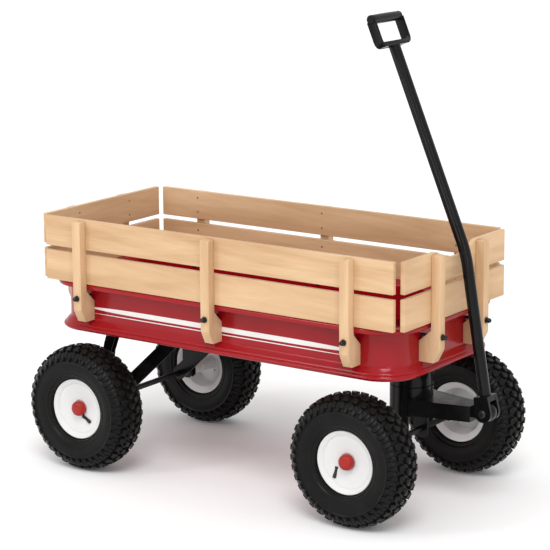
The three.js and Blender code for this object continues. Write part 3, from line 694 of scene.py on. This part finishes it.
def shaft_tube():
    """A round tube with one bend, pressed with two shallow lengthwise flutes above the bend."""
    start = HINGE + LOWER * 32.3
    t = np.linspace(0, 1, 17)[:, None]
    into, out = BEND - LOWER * 28, BEND + UPPER * 28
    bend = (1 - t) ** 2 * into + 2 * t * (1 - t) * BEND + t**2 * out
    rise = np.linspace(0, 1, 30)[1:, None]
    lower = start + (into - start) * np.linspace(0.05, 0.95, 12)[:, None]
    path = np.vstack([start[None, :], lower, bend, out + (SHAFT_TOP - out) * rise])
    along = np.gradient(path, axis=0)
    along /= np.linalg.norm(along, axis=1)[:, None]
    across = np.broadcast_to([0.0, 1.0, 0.0], path.shape)
    side = np.cross(across, along)
    turn = np.linspace(0, 2 * math.pi, 72, endpoint=False)
    high = np.linalg.norm(path - BEND, axis=1) * np.sign(path[:, 2] - BEND[2])
    to_top = np.linalg.norm(SHAFT_TOP - path, axis=1)
    depth = 1.5 * np.clip((high + 10) / 40, 0, 1) * np.clip(to_top / 25, 0, 1)
    dips = sum(np.exp(-(((turn - math.radians(at) + math.pi) % (2 * math.pi) - math.pi) / 0.17) ** 2)
               for at in (-70, -110, 70, 110))
    radius = SHAFT_R - depth[:, None] * dips[None, :]
    section = np.stack([radius * np.cos(turn), radius * np.sin(turn)], -1)
    return [grid_shell(carried(section, path, side, across))]


piece("shaft_tube", shaft_tube(), "handle", BLACK_PAINT, ["handle_shaft"], sharp=60)

GRIP_HALF, GRIP_HIGH, GRIP_BAR_R = 50.0, 66.0, 9.0
GRIP_BASE = SHAFT_TOP + UPPER * 0.3
GRIP_FRONT = np.cross([0.0, 1.0, 0.0], UPPER)


def in_grip(points):
    """From the grip's own (front, across, up) to the wagon's frame."""
    return GRIP_BASE + points[..., :1] * GRIP_FRONT + points[..., 1:2] * [0, 1.0, 0] + points[..., 2:] * UPPER


def grip_strap():
    """A dished strap carried up one arm, along the base and up the other: its section sinks 1.5 mm."""
    edge = GRIP_HALF - 2
    corner = np.array([(-edge, GRIP_HIGH - 13.4), (-edge, 2.0), (edge, 2.0), (edge, GRIP_HIGH - 13.4)])
    bends = eased(corner, 14.0, 8, closed=False)
    run = np.vstack([np.linspace(a, b, 5)[:-1] for a, b in zip(bends[:-1], bends[1:])] + [bends[-1:]])
    along = np.gradient(run, axis=0)
    along /= np.linalg.norm(along, axis=1)[:, None]
    path = np.column_stack([np.zeros(len(run)), run])
    outward = np.column_stack([np.zeros(len(run)), along[:, 1], -along[:, 0]])
    front = np.broadcast_to([1.0, 0, 0], path.shape)
    section = np.array([(-9.8, -1.7), (-8.6, -2.1), (8.6, -2.1), (9.8, -1.7), (10, 0), (9.6, 1.9),
                        (8.2, 2.1), (6.6, 0.8), (3, 0.4), (-3, 0.4), (-6.6, 0.8), (-8.2, 2.1), (-9.6, 1.9),
                        (-10, 0)])
    shell = grid_shell(carried(section, path, front, outward))
    return [(in_grip(shell[0]), shell[1])]


def grip_base():
    """The thick foot of the loop: a bar with tapered lower corners, and a plug inside the shaft."""
    outline = [(-40, 0.7), (40, 0.7), (46, 7), (46, 9.4), (-46, 9.4), (-46, 7)]
    shape = slab(eased(outline, 2.5, 3), -9.8, 9.8, 1.2, "yz")
    profile = [(0.4, -24), (8.6, -24), (8.8, -23), (8.8, 2), (0.4, 2)]
    plug = turned(profile, np.zeros(3), 1, 32, closed=False, axis="z")
    return [(in_grip(part[0]), part[1]) for part in (shape, plug)]


piece("grip_strap", grip_strap() + grip_base(), "handle", BLACK_PAINT, ["grip_frame"], sharp=45)


def grip_roll():
    """The hand bar: a gently barrelled roll with a collar at each end."""
    centre = np.array([0, 0, GRIP_HIGH - GRIP_BAR_R - 1])
    y = np.linspace(-44, 44, 23)
    roll = [(9.2 - 0.5 * (abs(v) / 44) ** 2, v) for v in y]
    profile = [(0.4, -50), (7.4, -50), (8.8, -48.6), (9.0, -45.6), (8.2, -44.8)] + roll[1:-1]
    profile += [(8.2, 44.8), (9.0, 45.6), (8.8, 48.6), (7.4, 50), (0.4, 50)]
    shell = turned(profile, centre, 1, 40, closed=False)
    return [(in_grip(shell[0]), shell[1])]


piece("grip_roll", grip_roll(), "handle", BLACK_PLASTIC, ["grip_bar"], sharp=45)


# ------------------------------------------------------------------ camera, floor and light
AZIMUTH, ELEVATION, ROLL = (math.radians(a) for a in (35.26, 12.54, -0.38))
LOW = math.cos(ELEVATION)
BACK = Vector((math.sin(AZIMUTH) * LOW, -math.cos(AZIMUTH) * LOW, math.sin(ELEVATION)))
LEVEL = Vector((math.cos(AZIMUTH), math.sin(AZIMUTH), 0))
RISE = BACK.cross(LEVEL)
RIGHT = LEVEL * math.cos(ROLL) + RISE * math.sin(ROLL)
UP = RISE * math.cos(ROLL) - LEVEL * math.sin(ROLL)

eye = bpy.data.cameras.new("camera")
eye.lens = 142.14
eye.sensor_width = 36.0
eye.shift_x = -0.0014
eye.shift_y = -0.0009
eye.clip_end = 200
camera = bpy.data.objects.new("camera", eye)
bpy.context.scene.collection.objects.link(camera)
turn = Matrix((RIGHT, UP, BACK)).transposed().to_4x4()
camera.matrix_world = Matrix.Translation((2.41339, -3.4330, 1.33701)) @ turn
bpy.context.scene.camera = camera

floor_mesh = bpy.data.meshes.new("studio_floor")
FLOOR_HALF = 40.0
corners = [(x * FLOOR_HALF, y * FLOOR_HALF, 0) for x, y in ((-1, -1), (1, -1), (1, 1), (-1, 1))]
floor_mesh.from_pydata(corners, [], [(0, 1, 2, 3)])
floor_mesh.materials.append(coated("studio floor", (0.96, 0.96, 0.96), (0.97, 0.97, 0.97), (0.85, 0.9), 0.0,
                                   specular=0.0))
floor = bpy.data.objects.new("studio_floor", floor_mesh)
bpy.context.scene.collection.objects.link(floor)


def soft_light(name, at, aim, size, power):
    lamp = bpy.data.lights.new(name, "AREA")
    lamp.shape = "RECTANGLE"
    lamp.size, lamp.size_y = size
    lamp.energy = power
    made = bpy.data.objects.new(name, lamp)
    made.location = at
    made.rotation_mode = "QUATERNION"
    made.rotation_quaternion = (Vector(aim) - Vector(at)).to_track_quat("-Z", "Y")
    bpy.context.scene.collection.objects.link(made)


soft_light("key", (-1.9, -3.3, 2.6), (0, 0, 0.3), (0.8, 1.7), 27)
soft_light("side", (3.0, -2.6, 1.5), (0.1, 0, 0.25), (0.5, 1.6), 13)

sky = bpy.data.lights.new("even", "SUN")
sky.energy = 1.15
sky.angle = math.radians(26)
even = bpy.data.objects.new("even", sky)
even.rotation_mode = "QUATERNION"
even.rotation_quaternion = Vector((-0.34, 0.5, -0.8)).to_track_quat("-Z", "Y")
bpy.context.scene.collection.objects.link(even)

world = bpy.data.worlds.new("studio")
bpy.context.scene.world = world
world.use_nodes = True
world.node_tree.nodes["Background"].inputs["Color"].default_value = (1, 1, 1, 1)
world.node_tree.nodes["Background"].inputs["Strength"].default_value = 0.86
bpy.context.scene.view_settings.view_transform = "Standard"
